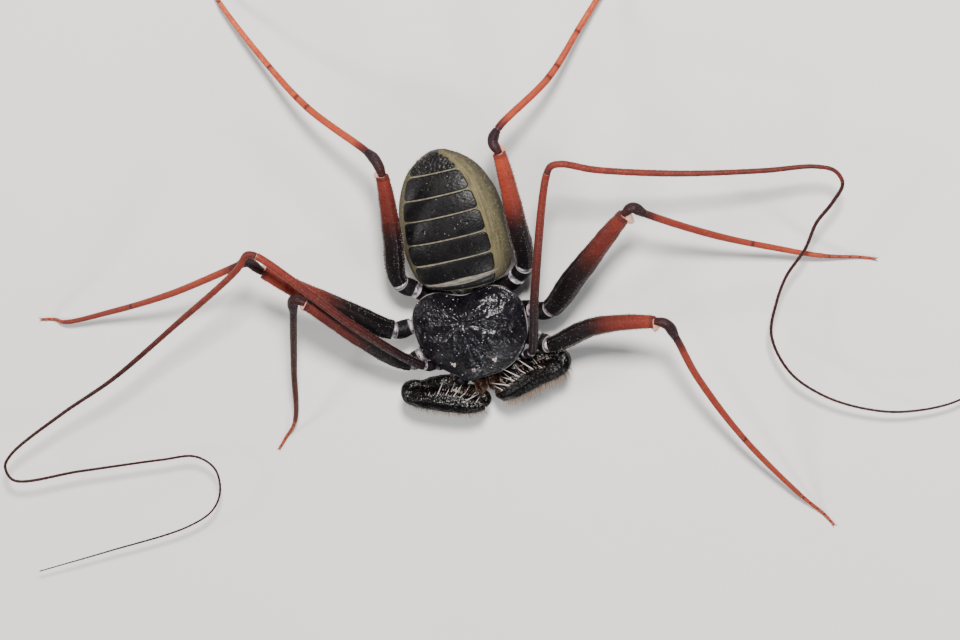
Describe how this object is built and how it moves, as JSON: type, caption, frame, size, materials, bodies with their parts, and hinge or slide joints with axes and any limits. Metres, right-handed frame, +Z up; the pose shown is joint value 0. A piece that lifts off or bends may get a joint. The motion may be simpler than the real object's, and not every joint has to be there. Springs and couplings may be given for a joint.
{
  "type": "tailless whip scorpion",
  "caption": "Life-size still model of a tailless whip scorpion: flat body, spined folded palps, thin walking legs and long whip-like feelers held out.",
  "frame": {"origin": "on the floor under the middle of the whole model's box", "axes": "+Z up, -Y the way the animal faces, +X its left side; the feelers reach out along X"},
  "size_m": [0.1188, 0.0716, 0.0165],
  "materials": {
    "abdomen": "satin near-black plates on olive skin",
    "carapace": "glossy blue-black, finely granular",
    "chelicera_left": "satin dark red-brown",
    "chelicera_right": "satin dark red-brown",
    "eye_median_left": "glossy black",
    "eye_median_right": "glossy black",
    "eyes_lateral_left": "glossy black",
    "eyes_lateral_right": "glossy black",
    "feeler_femur_left": "satin dark red",
    "feeler_femur_right": "satin dark red",
    "feeler_hip_left": "satin black",
    "feeler_hip_right": "satin black",
    "feeler_tarsus_base_left": "matt grey-brown",
    "feeler_tarsus_base_right": "matt grey-brown",
    "feeler_tarsus_middle_left": "matt grey-brown",
    "feeler_tarsus_middle_right": "matt grey-brown",
    "feeler_tarsus_tip_left": "matt grey-brown",
    "feeler_tarsus_tip_right": "matt grey-brown",
    "feeler_tibia_left": "satin dark red",
    "feeler_tibia_right": "satin dark red",
    "leg_2_left_femur": "satin, black at the root to brick red",
    "leg_2_left_patella": "satin dark purple-brown",
    "leg_2_left_tarsus": "satin orange",
    "leg_2_left_tibia": "satin red-brown to orange",
    "leg_2_left_trochanter": "satin black",
    "leg_2_right_femur": "satin, black at the root to brick red",
    "leg_2_right_patella": "satin dark purple-brown",
    "leg_2_right_tarsus": "satin orange",
    "leg_2_right_tibia": "satin red-brown to orange",
    "leg_2_right_trochanter": "satin black",
    "leg_3_left_femur": "satin, black at the root to brick red",
    "leg_3_left_patella": "satin dark purple-brown",
    "leg_3_left_tarsus": "satin orange",
    "leg_3_left_tibia": "satin red-brown to orange",
    "leg_3_left_trochanter": "satin black",
    "leg_3_right_femur": "satin, black at the root to brick red",
    "leg_3_right_patella": "satin dark purple-brown",
    "leg_3_right_tarsus": "satin orange",
    "leg_3_right_tibia": "satin red-brown to orange",
    "leg_3_right_trochanter": "satin black",
    "leg_4_left_femur": "satin, black at the root to brick red",
    "leg_4_left_patella": "satin dark purple-brown",
    "leg_4_left_tarsus": "satin orange",
    "leg_4_left_tibia": "satin red-brown to orange",
    "leg_4_left_trochanter": "satin black",
    "leg_4_right_femur": "satin, black at the root to brick red",
    "leg_4_right_patella": "satin dark purple-brown",
    "leg_4_right_tarsus": "satin orange",
    "leg_4_right_tibia": "satin red-brown to orange",
    "leg_4_right_trochanter": "satin black",
    "palp_femur_left": "glossy black",
    "palp_femur_right": "glossy black",
    "palp_hand_left": "glossy black",
    "palp_hand_right": "glossy black",
    "palp_patella_left": "glossy black",
    "palp_patella_right": "glossy black",
    "palp_trochanter_left": "glossy black",
    "palp_trochanter_right": "glossy black",
    "pedicel": "matt pale skin",
    "underbody": "satin dark brown"
  },
  "bodies": {
    "root": {"abdomen": "abdomen", "carapace": "carapace", "chelicera_left": "chelicera_left", "chelicera_right": "chelicera_right", "eye_median_left": "eye_median_left", "eye_median_right": "eye_median_right", "eyes_lateral_left": "eyes_lateral_left", "eyes_lateral_right": "eyes_lateral_right", "feeler_femur_left": "feeler_femur_left", "feeler_femur_right": "feeler_femur_right", "feeler_hip_left": "feeler_hip_left", "feeler_hip_right": "feeler_hip_right", "feeler_tarsus_base_left": "feeler_tarsus_base_left", "feeler_tarsus_base_right": "feeler_tarsus_base_right", "feeler_tarsus_middle_left": "feeler_tarsus_middle_left", "feeler_tarsus_middle_right": "feeler_tarsus_middle_right", "feeler_tarsus_tip_left": "feeler_tarsus_tip_left", "feeler_tarsus_tip_right": "feeler_tarsus_tip_right", "feeler_tibia_left": "feeler_tibia_left", "feeler_tibia_right": "feeler_tibia_right", "leg_2_left_femur": "leg_2_left_femur", "leg_2_left_patella": "leg_2_left_patella", "leg_2_left_tarsus": "leg_2_left_tarsus", "leg_2_left_tibia": "leg_2_left_tibia", "leg_2_left_trochanter": "leg_2_left_trochanter", "leg_2_right_femur": "leg_2_right_femur", "leg_2_right_patella": "leg_2_right_patella", "leg_2_right_tarsus": "leg_2_right_tarsus", "leg_2_right_tibia": "leg_2_right_tibia", "leg_2_right_trochanter": "leg_2_right_trochanter", "leg_3_left_femur": "leg_3_left_femur", "leg_3_left_patella": "leg_3_left_patella", "leg_3_left_tarsus": "leg_3_left_tarsus", "leg_3_left_tibia": "leg_3_left_tibia", "leg_3_left_trochanter": "leg_3_left_trochanter", "leg_3_right_femur": "leg_3_right_femur", "leg_3_right_patella": "leg_3_right_patella", "leg_3_right_tarsus": "leg_3_right_tarsus", "leg_3_right_tibia": "leg_3_right_tibia", "leg_3_right_trochanter": "leg_3_right_trochanter", "leg_4_left_femur": "leg_4_left_femur", "leg_4_left_patella": "leg_4_left_patella", "leg_4_left_tarsus": "leg_4_left_tarsus", "leg_4_left_tibia": "leg_4_left_tibia", "leg_4_left_trochanter": "leg_4_left_trochanter", "leg_4_right_femur": "leg_4_right_femur", "leg_4_right_patella": "leg_4_right_patella", "leg_4_right_tarsus": "leg_4_right_tarsus", "leg_4_right_tibia": "leg_4_right_tibia", "leg_4_right_trochanter": "leg_4_right_trochanter", "palp_femur_left": "palp_femur_left", "palp_femur_right": "palp_femur_right", "palp_hand_left": "palp_hand_left", "palp_hand_right": "palp_hand_right", "palp_patella_left": "palp_patella_left", "palp_patella_right": "palp_patella_right", "palp_trochanter_left": "palp_trochanter_left", "palp_trochanter_right": "palp_trochanter_right", "pedicel": "pedicel", "underbody": "underbody"}
  },
  "joints": []
}
